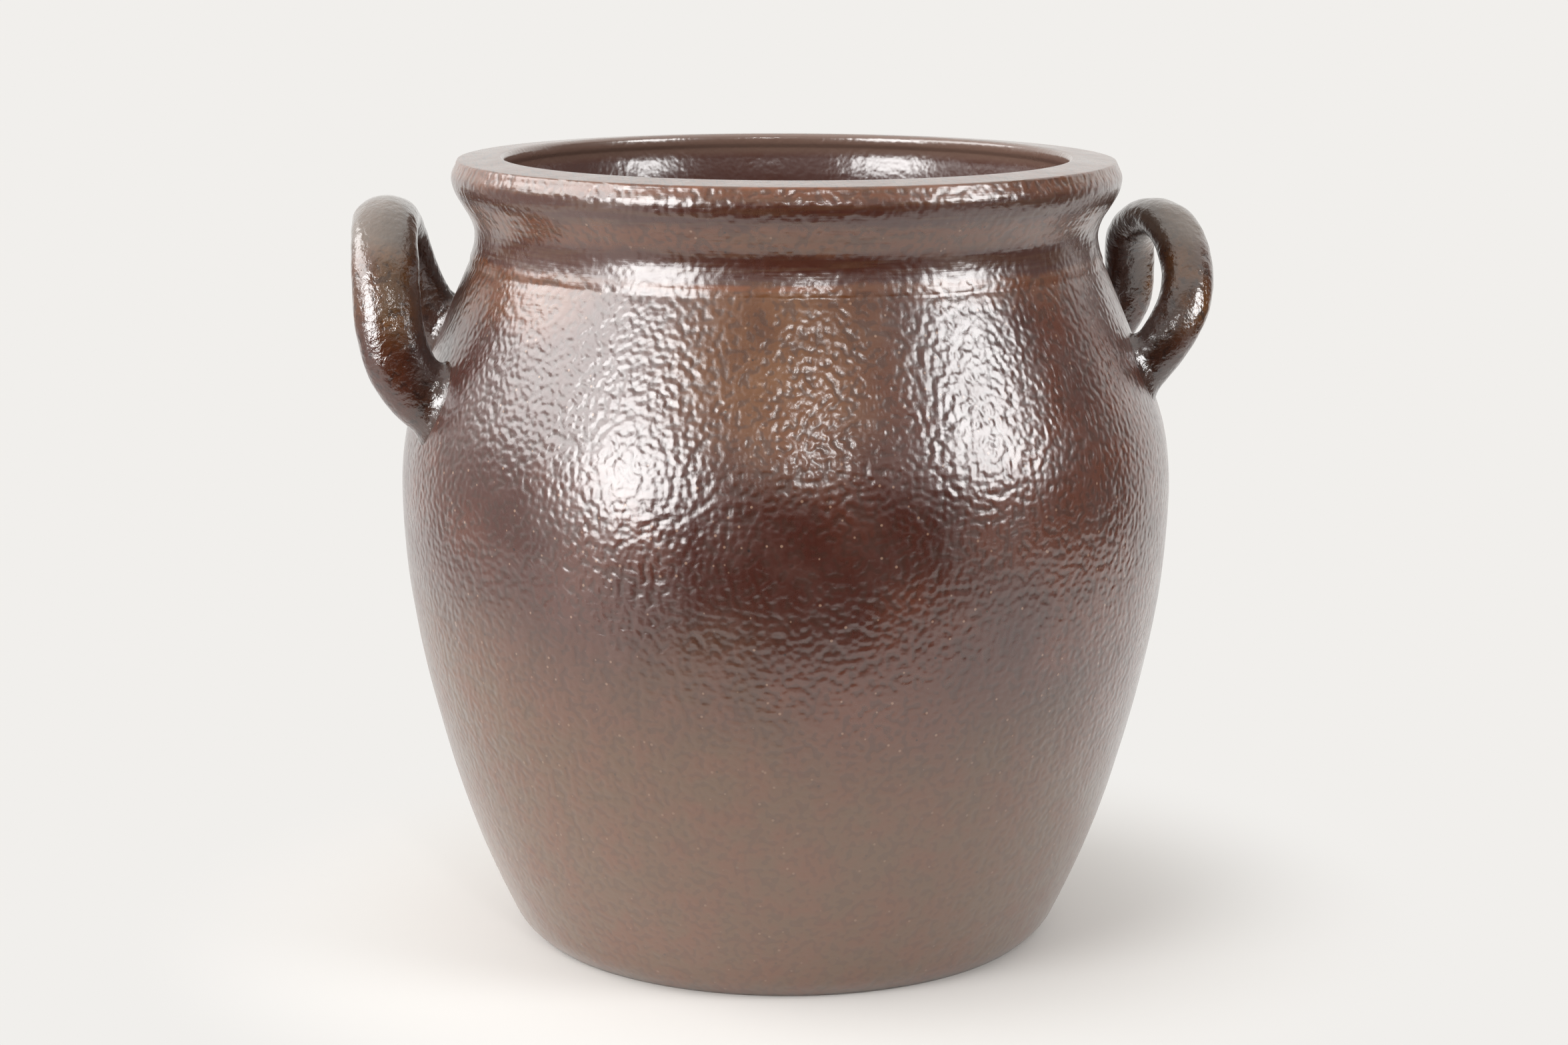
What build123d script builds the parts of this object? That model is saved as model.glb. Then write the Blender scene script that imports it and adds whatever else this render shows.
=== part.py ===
"""Stoneware storage jar with two loop handles.

The jar is thrown in one piece: floor, belly, neck and rim. Each handle is a
flattened strap of clay, bent to a loop that stands upright beside the neck.
Its two ends are fixed to the shoulder with luting wads, soft clay that is
pressed into the joint and smoothed out over the wall.

Frame: millimetres, +Z up along the jar's axis, origin in the middle of the
face that it stands on. The handles stand at +X (right) and -X (left), and the
front is at -Y.
"""
from build123d import *
import os

os.makedirs("parts", exist_ok=True)

# The jar's two driving sizes
rim_height = 240.0
belly_radius = 118.0

# Wall, floor and foot
wall_thickness = 8.0
floor_thickness = 10.0
floor_corner_radius = 18.0
heel_inset = 31.0
heel_height = 9.5
heel_arc_radius = 20.0
foot_inset = 7.5

# Belly, shoulder and collar: drops from the rim, insets from the belly
belly_drop = 108.0
shoulder_drop = 65.0
shoulder_inset = 7.4
collar_drop = 32.4
collar_inset = 21.0

# Points of the wall between those, as shares of the height and of the radius
# from one to the next
heel_to_belly_shares = ((0.17, 0.29), (0.45, 0.64), (0.78, 0.92))
belly_to_shoulder_shares = ((0.65, 0.29),)
shoulder_to_collar_shares = ((0.46, 0.45),)

# Turned line and low band where the shoulder meets the neck
groove_depth = 0.6
groove_width = 1.2
band_height = 2.0
band_lean = 0.4

# Neck and rolled rim
neck_drop = 23.0
neck_inset = 2.0
roll_drop = 6.0
roll_overhang = 6.8
rim_edge_drop = 0.8
rim_edge_inset = 1.9
rim_face_lean_share = 0.5

# Mouth
bead_undercut = 1.5
bead_undercut_length = 2.0
mouth_land_length = 2.6
mouth_round = 1.6
crown_width = 2.0
neck_bore_length = 22.0

# Handles: the top of a loop's centre line stands one rise above the shoulder
# height and about one stand-off outside the shoulder radius
loop_standoff = 10.0
loop_rise = 44.8
loop_spread = 30.0
left_strap_width = 20.6
left_strap_thickness = 14.6
right_strap_width = 16.6
right_strap_thickness = 12.8

# A loop's centre line from its front root over the top to its back root, as
# shares of the stand-off out from the shoulder radius, of the spread round
# from the handle's middle, and of the rise up from the shoulder height. The
# loops are bent by hand, so the two differ. Both roots end inside the wall.
left_reach_shares = (-1.9, 0.53, 1.08, 1.06, 0.85, -0.70, -2.3)
left_rise_shares = (-0.34, 0.08, 0.80, 1.04, 0.89, 0.20, 0.10)
right_reach_shares = (-1.7, 0.54, 0.95, 0.55, 0.11, 0.25, -2.2)
right_rise_shares = (-0.22, 0.42, 0.68, 1.0, 0.82, 0.42, -0.18)
spread_shares = (-0.92, -1.0, -0.72, 0.0, 0.66, 0.92, 0.88)
strap_sections = 13

# Luting wads: the length of a wad along the centre line, as a share of it,
# and how far its clay spreads round the strap at its deep end
wad_length_share = 0.19
wad_spread = 3.0
wad_sections = 4


def between(low, high, shares):
    """Points from low to high, each (radius, height), at the given shares."""
    return [
        (low[0] + (high[0] - low[0]) * radius, low[1] + (high[1] - low[1]) * height)
        for height, radius in shares
    ]


# Radii and heights that follow from the sizes above
heel_radius = belly_radius - heel_inset
foot_radius = heel_radius - foot_inset
collar_radius = belly_radius - collar_inset
neck_radius = collar_radius - neck_inset
rim_radius = neck_radius + roll_overhang
bore_radius = neck_radius - wall_thickness
mouth_radius = bore_radius - bead_undercut
shoulder_radius = belly_radius - shoulder_inset
shoulder_height = rim_height - shoulder_drop
collar_height = rim_height - collar_drop

heel_top = (heel_radius, heel_height)
belly = (belly_radius, rim_height - belly_drop)
shoulder = (shoulder_radius, shoulder_height)
collar = (collar_radius, collar_height)
lower_wall = [heel_top, *between(heel_top, belly, heel_to_belly_shares), belly]
upper_wall = [*between(belly, shoulder, belly_to_shoulder_shares), shoulder]
under_collar = between(shoulder, collar, shoulder_to_collar_shares)

# The jar's outside as one closed form
with BuildPart() as outside_form:
    with BuildSketch(Plane.XZ):
        with BuildLine():
            foot = Line((0, 0), (foot_radius, 0))
            heel = RadiusArc(foot @ 1, heel_top, -heel_arc_radius)
            Spline(*lower_wall, *upper_wall, *under_collar, collar)
            band = Polyline(
                collar,
                (collar_radius - groove_depth, collar_height + groove_width / 2),
                (collar_radius, collar_height + groove_width),
                (collar_radius - band_lean, collar_height + groove_width + band_height),
            )
            neck_foot = Vector(neck_radius, rim_height - neck_drop)
            roll_side = (rim_radius, rim_height - roll_drop)
            rim_edge = Vector(rim_radius - rim_edge_inset, rim_height - rim_edge_drop)
            crown = Vector(mouth_radius + crown_width, rim_height)
            up = (0, 1)
            inwards = Vector(-rim_face_lean_share, 1)
            Spline(band @ 1, neck_foot, tangents=((neck_foot - band @ 1).normalized(), up))
            Spline(neck_foot, roll_side, tangents=(up, up))
            Spline(roll_side, rim_edge, tangents=(up, inwards.normalized()))
            Polyline(rim_edge, crown, (0, rim_height), (0, 0))
        make_face()
    revolve(axis=Axis.Z)

# The jar itself: the outside form, hollowed from the mouth down
with BuildPart() as jar_body:
    add(outside_form.part)
    with BuildSketch(Plane.XZ) as hollow:
        land_foot = rim_height - mouth_round - mouth_land_length
        bore_top = land_foot - bead_undercut_length
        with BuildLine():
            mouth = Polyline(
                (0, rim_height),
                (mouth_radius, rim_height),
                (mouth_radius, land_foot),
                (bore_radius, bore_top),
                (bore_radius, bore_top - neck_bore_length),
            )
            inner_wall = [
                (radius - wall_thickness, height) for radius, height in lower_wall[1:] + upper_wall
            ]
            floor_edge = (heel_radius - wall_thickness, floor_thickness)
            inside = Spline(mouth @ 1, *reversed(inner_wall), floor_edge)
            Polyline(floor_edge, (0, floor_thickness), (0, rim_height))
        make_face()
        fillet(hollow.vertices().sort_by_distance(floor_edge)[0], floor_corner_radius)
    revolve(axis=Axis.Z, mode=Mode.SUBTRACT)
    top_circles = jar_body.edges().filter_by(GeomType.CIRCLE).group_by(Axis.Z)[-1]
    fillet(top_circles.sort_by(SortBy.RADIUS)[0], mouth_round)
jar_body.part.label = "jar_body"
export_step(jar_body.part, "parts/jar_body.step")


def strap_section(line, side, share, width, thickness):
    """The strap's oval section, square to its centre line, flat side to the jar."""
    plane = Plane(origin=line @ share, x_dir=(side, 0, 0), z_dir=line % share)
    with BuildSketch(plane) as section:
        Ellipse(width / 2, thickness / 2)
    return section.sketch


def wad_section(line, side, share, root, width, thickness):
    """A section of a luting wad, which grows from the strap's to its deep end."""
    growth = 2 * wad_spread * (1 - abs(share - root) / wad_length_share)
    return strap_section(line, side, share, width + growth, thickness + growth)


handles = (
    ("left", -1, left_reach_shares, left_rise_shares, left_strap_width, left_strap_thickness),
    ("right", 1, right_reach_shares, right_rise_shares, right_strap_width, right_strap_thickness),
)
for name, side, reach_shares, rise_shares, width, thickness in handles:
    with BuildLine() as loop:
        Spline(
            *(
                (
                    side * (shoulder_radius + reach * loop_standoff),
                    spread * loop_spread,
                    shoulder_height + rise * loop_rise,
                )
                for reach, spread, rise in zip(reach_shares, spread_shares, rise_shares)
            )
        )
    line = loop.line

    span = 1 - 2 * wad_length_share
    shares = [wad_length_share + span * step / strap_sections for step in range(strap_sections + 1)]
    with BuildPart() as handle:
        loft(sections=[strap_section(line, side, share, width, thickness) for share in shares])
        add(outside_form.part, mode=Mode.SUBTRACT)
    handle.part.label = f"{name}_handle"
    export_step(handle.part, f"parts/{name}_handle.step")

    for end, root in (("front", 0), ("back", 1)):
        first_share = root * (1 - wad_length_share)
        shares = [first_share + wad_length_share * step / wad_sections for step in range(wad_sections + 1)]
        with BuildPart() as wad:
            loft(sections=[wad_section(line, side, share, root, width, thickness) for share in shares])
            add(outside_form.part, mode=Mode.SUBTRACT)
        wad.part.label = f"{name}_{end}_luting"
        export_step(wad.part, f"parts/{name}_{end}_luting.step")
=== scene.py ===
"""Salt-glazed stoneware jar with two loop handles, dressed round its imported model.

The body is drawn as an outline and spun, as the real one was thrown. The straps
are bridged through ovals, and a fillet of wet clay goes round each of their
roots. Everything is in metres: +Z up, the handles at +X and -X, the front at -Y.
"""

import math

import bmesh
import bpy
import numpy as np
from mathutils import Matrix, Vector, noise


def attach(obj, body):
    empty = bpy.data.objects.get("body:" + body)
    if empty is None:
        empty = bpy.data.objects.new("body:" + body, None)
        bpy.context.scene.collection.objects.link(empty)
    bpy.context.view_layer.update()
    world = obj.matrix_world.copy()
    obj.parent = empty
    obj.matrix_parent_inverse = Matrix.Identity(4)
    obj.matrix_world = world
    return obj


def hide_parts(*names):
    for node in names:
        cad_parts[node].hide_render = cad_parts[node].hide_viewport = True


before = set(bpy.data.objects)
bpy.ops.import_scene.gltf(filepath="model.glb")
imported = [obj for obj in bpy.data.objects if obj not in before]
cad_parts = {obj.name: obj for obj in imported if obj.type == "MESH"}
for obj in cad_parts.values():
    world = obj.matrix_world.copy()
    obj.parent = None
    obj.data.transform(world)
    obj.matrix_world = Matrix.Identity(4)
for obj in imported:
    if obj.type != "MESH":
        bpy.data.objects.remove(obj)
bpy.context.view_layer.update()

bl_info = {
    "name": "Salt-glazed jar",
    "version": (1, 0, 0),
    "blender": (4, 5, 0),
    "location": "3D View > Sidebar > Jar",
    "description": "Builds a thrown stoneware jar with its handles, glazes and stage",
    "category": "Object",
}

MM = 0.001

# Azimuth of the camera, to whose side of the jar "front" points
FRONT = math.radians(-96.5)


def linear(hex_colour):
    """The linear colour of an sRGB hex value."""
    values = [int(hex_colour[i : i + 2], 16) / 255 for i in (1, 3, 5)]
    return tuple(v / 12.92 if v <= 0.04045 else ((v + 0.055) / 1.055) ** 2.4 for v in values)


def length(name, description, millimetres):
    """A length that the user may change, given in millimetres."""
    settings = {"default": millimetres * MM, "min": 0, "precision": 4, "unit": "LENGTH"}
    return bpy.props.FloatProperty(name=name, description=description, **settings)


def power(name, description, watts):
    """A light's power that the user may change, given in watts."""
    settings = {"default": watts, "min": 0, "unit": "POWER"}
    return bpy.props.FloatProperty(name=name, description=description, **settings)


def colour(name, description, hex_colour):
    """A colour that the user may change, given as an sRGB hex value."""
    settings = {"default": linear(hex_colour), "min": 0, "max": 1, "subtype": "COLOR"}
    return bpy.props.FloatVectorProperty(name=name, description=description, **settings)


class JarSizes(bpy.types.PropertyGroup):
    """Sizes of the thrown body"""

    rim_height: length("Rim height", "Height of the rim above the foot", 240.0)
    belly_radius: length("Belly radius", "Largest radius of the body", 118.0)
    wall: length("Wall", "Thickness of the thrown wall", 8.0)
    floor: length("Floor", "Thickness of the floor inside", 10.0)
    peel: length("Unevenness", "Depth of the shallow hollows that hands left in the wall", 0.22)
    ripple: length("Throwing rings", "Depth of the rings that fingers left inside", 0.3)


class HandleSizes(bpy.types.PropertyGroup):
    """Sizes of the two straps"""

    left_width: length("Left width", "Width of the left strap", 20.6)
    left_thickness: length("Left thickness", "Thickness of the left strap", 14.6)
    right_width: length("Right width", "Width of the right strap", 16.6)
    right_thickness: length("Right thickness", "Thickness of the right strap", 12.8)
    standoff: length("Stand-off", "How far the loops stand out from the shoulder", 10.0)
    rise: length("Rise", "How far the loops rise above the shoulder", 44.8)
    spread: length("Spread", "Half the distance between a loop's roots", 30.0)
    fillet: length("Root fillet", "Radius of the clay that is smoothed round a root", 5.4)


class GlazeColours(bpy.types.PropertyGroup):
    """Colours of the glaze and the clay"""

    # Chocolate is also the painted shade of two bands under the rim and over the collar's ridge
    chocolate: colour("Chocolate", "Main colour of the glaze", "#431F16")
    redbrown: colour("Red brown", "Warmer clouds in the glaze", "#5F3221")
    plum: colour("Plum", "Cooler clouds in the glaze", "#4E2D24")
    neck: colour("Neck", "Glaze of the neck and the rim", "#693B20")
    ash: colour("Ash", "Thin grey-brown glaze low down", "#5D422C")
    clay: colour("Clay", "Redder clouds in the thin glaze", "#643F29")
    ochre: colour("Ochre", "Where the glaze flashed golden on the shoulder", "#6E4216")
    rust: colour("Rust", "Thin glaze on sharp edges", "#7C421A")
    # Also painted glints: the pale dots stand for light caught on the tops of the glaze's beads
    grog: colour("Grog", "Pale grains in the clay", "#AC8C76")
    pit: colour("Pits", "Iron specks and pits", "#1E1412")
    olive: colour("Olive", "Thin glaze on the handles", "#583C22")
    # Umber is also painted shade, on the side of the straps that faces the jar
    umber: colour("Umber", "Thick glaze on the handles", "#3A241B")
    inside: colour("Inside", "Glaze inside", "#523630")
    lip: colour("Lip", "Thin glaze on the lip inside", "#72594E")
    # Painted reflection: the grey that stands for the pale room mirrored on the handles' tops
    painted_top_sheen: colour("Dry", "Thin, dry glaze on top of the handles", "#70645A")
    bare: colour("Bare clay", "Unglazed underside", "#8C6A55")


class StageSettings(bpy.types.PropertyGroup):
    """Floor, light and camera"""

    backdrop: colour("Backdrop", "Colour of the surroundings", "#F1EFEC")
    paper: colour("Paper", "Colour of the sheet that the jar stands on", "#E1DFDC")
    dim_side: colour("Dim side", "Colour of the room low down on the left", "#B3B1AE")
    grey_side: colour("Grey side", "Colour of the room on the right of the camera", "#4C4A48")
    high_side: colour("High side", "Colour of the room above the camera", "#989694")
    dark_side: colour("Dark side", "Colour of the room below the camera", "#1C1A19")
    left_power: power("Left softbox", "Power of the left softbox", 21.5)
    window_power: power("Left window", "Power of the wide, dim light at far left", 12.0)
    right_power: power("Right softbox", "Power of the right softbox", 13.2)
    front_power: power("Front lamp", "Power of the small lamp in front", 2.0)
    lens: bpy.props.FloatProperty(
        name="Lens", description="Focal length of the camera", default=70.6, min=1, unit="CAMERA"
    )


# Outline of the body: drops from the rim and insets from the belly, as in the CAD

BELLY_DROP = 108 * MM
HEEL_INSET = 31 * MM
HEEL_HEIGHT = 9.5 * MM
FOOT_INSET = 7.5 * MM
SHOULDER_DROP = 65 * MM
SHOULDER_INSET = 7.4 * MM
COLLAR_DROP = 32.4 * MM
COLLAR_INSET = 21 * MM
NECK_DROP = 23 * MM
NECK_INSET = 23 * MM
MOUTH_INSET = 32.5 * MM
ROLL_DROP = 6 * MM
ROLL_OVERHANG = 6.8 * MM


def run_along(line):
    """The distance along the line from its start to each of its points."""
    return np.concatenate([[0], np.cumsum(np.linalg.norm(np.diff(line, axis=0), axis=1))])


def smooth_line(points, spacing):
    """Points about one spacing apart on the natural cubic through the given ones."""
    points = np.asarray(points, float)
    knots = run_along(points)
    gaps = np.diff(knots)
    count = len(points)
    system = np.eye(count)
    sides = np.zeros_like(points)
    for i in range(1, count - 1):
        before, after = gaps[i - 1], gaps[i]
        system[i, i - 1 : i + 2] = before, 2 * (before + after), after
        sides[i] = 6 * ((points[i + 1] - points[i]) / after - (points[i] - points[i - 1]) / before)
    bend = np.linalg.solve(system, sides)
    fine = np.linspace(0, knots[-1], 4000)
    span = np.clip(np.searchsorted(knots, fine, side="right") - 1, 0, count - 2)
    gap = gaps[span][:, None]
    after = (fine - knots[span])[:, None] / gap
    before = 1 - after
    curve = before * points[span] + after * points[span + 1]
    curve += ((before**3 - before) * bend[span] + (after**3 - after) * bend[span + 1]) * gap**2 / 6
    return evenly(curve, spacing)


def evenly(curve, spacing):
    """The same line with its points about one spacing apart."""
    run = run_along(curve)
    stops = np.linspace(0, run[-1], max(2, round(run[-1] / spacing) + 1))
    return np.stack([np.interp(stops, run, column) for column in curve.T], axis=1)


def bow(start, end, start_way, end_way, spacing):
    """A cubic bow from start to end that leaves and arrives along the given ways."""
    start, end = np.array(start), np.array(end)
    reach = np.linalg.norm(end - start)
    first = np.array(start_way) / np.linalg.norm(start_way) * reach
    last = np.array(end_way) / np.linalg.norm(end_way) * reach
    t = np.linspace(0, 1, 400)[:, None]
    curve = (2 * t**3 - 3 * t**2 + 1) * start + (t**3 - 2 * t**2 + t) * first
    curve += (3 * t**2 - 2 * t**3) * end + (t**3 - t**2) * last
    return evenly(curve, spacing)


def between(low, high, shares):
    """Points from low to high, each at a share of the height and of the radius."""
    return [
        (low[0] + (high[0] - low[0]) * radius, low[1] + (high[1] - low[1]) * height)
        for height, radius in shares
    ]


def wall_points(sizes):
    """The points, (radius, height), that the outer wall goes through from heel to collar."""
    belly = (sizes.belly_radius, sizes.rim_height - BELLY_DROP)
    heel = (sizes.belly_radius - HEEL_INSET, HEEL_HEIGHT)
    shoulder = (sizes.belly_radius - SHOULDER_INSET, sizes.rim_height - SHOULDER_DROP)
    collar = (sizes.belly_radius - COLLAR_INSET, sizes.rim_height - COLLAR_DROP)
    lower = [heel, *between(heel, belly, ((0.17, 0.29), (0.45, 0.64), (0.78, 0.92))), belly]
    upper = [*between(belly, shoulder, ((0.65, 0.29),)), shoulder]
    return lower, upper, between(shoulder, collar, ((0.46, 0.45),)), collar


def outer_wall(sizes, spacing):
    """The wall's outer line from the foot to the collar."""
    lower, upper, under_collar, collar = wall_points(sizes)
    foot_radius = lower[0][0] - FOOT_INSET
    heel_bulge = (foot_radius + 4.5 * MM, 4.2 * MM)
    foot = [(foot_radius, 0), heel_bulge]
    return smooth_line([*foot, *lower, *upper, *under_collar, collar], spacing)


def ripples(line, pitch, depth):
    """The same inner line with rings pressed into it, each a little unlike the next. They fade
    out over 8 mm at both ends."""
    run = run_along(line)
    phase = run / pitch * math.tau
    swell = 0.5 * np.sin(phase) + 0.3 * np.sin(1.37 * phase + 1.1)
    swell += 0.2 * np.sin(0.61 * phase + 2.3)
    fade = np.clip(np.minimum(run, run[-1] - run) / (8 * MM), 0, 1)
    rippled = line.copy()
    rippled[:, 0] += depth * swell * fade
    return rippled


def jar_outline(sizes):
    """The body's whole section: under the foot, up outside, over the rim and down inside."""

    def place(radius, height, points):
        """Points given in millimetres from this radius and height."""
        return [(radius + out * MM, height + up * MM) for out, up in points]

    top = sizes.rim_height
    neck = sizes.belly_radius - NECK_INSET
    mouth = sizes.belly_radius - MOUTH_INSET
    lower, upper, _, collar = wall_points(sizes)
    wall = outer_wall(sizes, 2.0 * MM)
    hollow = place(0, 0, [(0, 0.4), (35, 0.4), (68, 0.3), (74, 0)])
    foot_edge = place(wall[0][0], 0, [(-0.6, 0)])

    # Turned line, low band over it, and neck
    groove = place(*collar, [(-0.3, 0.5)])
    band = place(*collar, [(-0.4, 1.1), (-0.52, 2.3), (-0.8, 3.1), (-1.05, 3.8)])
    neck_foot = (neck, top - NECK_DROP)
    neck_rise = bow(band[-1], neck_foot, (-0.3, 1), (0, 1), 1.2 * MM)

    # Rolled rim, its flat top, and the land and the undercut of the mouth
    roll_side = (neck + ROLL_OVERHANG, top - ROLL_DROP)
    rim_edge = place(neck, top, [(5.1, -1.4)])[0]
    roll_under = bow(neck_foot, roll_side, (0, 1), (0, 1), 1.1 * MM)
    roll_over = bow(roll_side, rim_edge, (0, 1), (-0.45, 1), 0.8 * MM)
    edge_round = place(neck, top, [(4.9, -1.08), (4.6, -0.86)])
    top_face = place(neck, top, [(4.1, -0.76)]) + place(mouth, top, [(2, 0)])
    top_face = evenly(np.array(top_face), 1.6 * MM)
    mouth_round = place(mouth, top, [(1.1, -0.12), (0.45, -0.5), (0.12, -0.95), (0, -1.6)])
    undercut = place(mouth, top, [(0, -2.9), (0.25, -3.6), (0.7, -4.2)])

    # Down inside: the bore leans, so that it catches the light from the sides
    bore = [(0.98, -4.8), (0.74, -6.5), (0.22, -11), (-0.12, -15), (-0.1, -22), (1, -31)]
    inner = [(radius - sizes.wall, height) for radius, height in lower[1:] + upper]
    corner = [(4.7, 10.7), (2.1, 6.4), (-1.9, 2.9), (-7, 0.6), (-11.7, 0)]
    corner = place(lower[0][0] - sizes.wall, sizes.floor, corner)
    inside = smooth_line([*place(mouth, top, bore), *reversed(inner), *corner], 3.4 * MM)
    inside = ripples(inside, 11 * MM, sizes.ripple)
    floor = place(0, sizes.floor, [(45, 0), (30, 0), (15, 0), (0, 0)])

    outside = [hollow, foot_edge, wall[:-1], [collar], groove, band[:-1], neck_rise]
    rim = [roll_under[1:], roll_over[1:], edge_round, top_face, mouth_round, undercut]
    return np.concatenate([*outside, *rim, inside, floor])


# Meshes made as by hand


def select_only(*objects):
    """Selects these objects alone, the first of them active."""
    if bpy.context.mode != "OBJECT":
        bpy.ops.object.mode_set(mode="OBJECT")
    bpy.ops.object.select_all(action="DESELECT")
    for item in objects:
        item.select_set(True)
    bpy.context.view_layer.objects.active = objects[0] if objects else None


def start_piece(name):
    """An empty mesh at the origin, open in edit mode."""
    select_only()
    bpy.ops.mesh.primitive_plane_add(size=1, enter_editmode=True, location=(0, 0, 0))
    bpy.ops.mesh.delete(type="VERT")
    piece = bpy.context.object
    piece.name = piece.data.name = name
    return piece


def spin_outline(name, outline, steps):
    """Draws the outline vertex by vertex and spins it round the jar's axis."""
    piece = start_piece(name)
    bpy.ops.mesh.primitive_circle_add(vertices=3, radius=MM, location=(0, 0, 0))
    bpy.ops.mesh.merge(type="CENTER")
    bpy.ops.transform.translate(value=(outline[0][0], 0, outline[0][1]))
    for step in np.diff(outline, axis=0):
        bpy.ops.mesh.extrude_vertices_move(TRANSFORM_OT_translate={"value": (step[0], 0, step[1])})
    bpy.ops.mesh.select_all(action="SELECT")
    bpy.ops.mesh.spin(
        steps=steps, angle=math.tau, center=(0, 0, 0), axis=(0, 0, 1), use_auto_merge=True
    )
    bpy.ops.mesh.select_all(action="SELECT")
    bpy.ops.mesh.remove_doubles(threshold=0.02 * MM)
    bpy.ops.mesh.normals_make_consistent(inside=False)
    bpy.ops.object.mode_set(mode="OBJECT")
    return piece


def bridge_rings(name, rings, vertices):
    """Adds an oval for each ring, (matrix, half width, half thickness), and bridges them in
    turn."""
    piece = start_piece(name)
    for matrix, half_width, half_thickness in rings:
        turn = matrix.to_3x3()
        bpy.ops.mesh.primitive_circle_add(
            vertices=vertices,
            radius=half_width,
            location=matrix.translation,
            rotation=turn.to_euler(),
        )
        bpy.ops.transform.resize(
            value=(1, half_thickness / half_width, 1),
            orient_matrix=turn,
            orient_matrix_type="GLOBAL",
            center_override=matrix.translation,
        )
    bpy.ops.mesh.select_mode(type="EDGE")
    for number in range(1, len(rings)):
        select_rings(piece, vertices, number - 1, number)
        bpy.ops.mesh.bridge_edge_loops()
    for number in (0, len(rings) - 1):
        select_rings(piece, vertices, number)
        bpy.ops.mesh.edge_face_add()
    bpy.ops.mesh.select_mode(type="VERT")
    bpy.ops.mesh.select_all(action="SELECT")
    bpy.ops.mesh.normals_make_consistent(inside=False)
    bpy.ops.object.mode_set(mode="OBJECT")
    return piece


def select_rings(piece, vertices, *numbers):
    """Selects the edges of these rings alone, counted in the order they were added."""
    bpy.ops.mesh.select_all(action="DESELECT")
    mesh = bmesh.from_edit_mesh(piece.data)
    mesh.verts.ensure_lookup_table()
    for number in numbers:
        ring = set(mesh.verts[number * vertices : (number + 1) * vertices])
        for vertex in ring:
            for edge in vertex.link_edges:
                edge.select = edge.select or ring.issuperset(edge.verts)


def press(piece, name, size, depth, group=""):
    """Presses shallow hollows of about this size into the piece, none of them outwards."""
    texture = bpy.data.textures.new(name, "CLOUDS")
    texture.noise_scale = size
    texture.noise_depth = 1
    modifier = piece.modifiers.new(name, "DISPLACE")
    modifier.texture = texture
    modifier.texture_coords = "LOCAL"
    modifier.mid_level = 1
    modifier.strength = depth
    modifier.vertex_group = group
    select_only(piece)
    bpy.ops.object.modifier_apply(modifier=modifier.name)


def weigh(piece, name, weight):
    """A vertex group whose weights come from each vertex's place."""
    group = piece.vertex_groups.new(name=name)
    for vertex in piece.data.vertices:
        share = weight(vertex.co)
        if share > 0:
            group.add([vertex.index], min(1, share), "REPLACE")


def dress(piece, slot, *nodes):
    """Hands the piece over: it rides on the one body and stands for these CAD nodes."""
    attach(piece, "root")
    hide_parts(*nodes)


# Materials


def add_node(tree, kind, inputs=None, stops=(), **settings):
    """Adds a node with its settings and its grey stops. Each input takes a value or another
    node's output, which is linked to it."""
    node = tree.nodes.new(kind)
    for name, value in settings.items():
        setattr(node, name, value)
    for number, (position, grey) in enumerate(stops):
        elements = node.color_ramp.elements
        element = elements[number] if number < 2 else elements.new(position)
        element.position, element.color = position, (grey, grey, grey, 1)
    for name, source in (inputs or {}).items():
        socket = node.inputs[name]
        if isinstance(source, bpy.types.NodeSocket):
            tree.links.new(source, socket)
        elif socket.type == "RGBA":
            socket.default_value = (*source, 1)
        else:
            socket.default_value = source
    return node


def new_material(name, values):
    """A material with its Principled shader, set to these values, and object coordinates."""
    material = bpy.data.materials.new(name)
    material.use_nodes = True
    tree = material.node_tree
    tree.nodes.clear()
    shader = add_node(tree, "ShaderNodeBsdfPrincipled", values)
    add_node(tree, "ShaderNodeOutputMaterial", {"Surface": shader.outputs["BSDF"]})
    place = add_node(tree, "ShaderNodeTexCoord").outputs["Object"]
    return material, tree, shader, place


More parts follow.
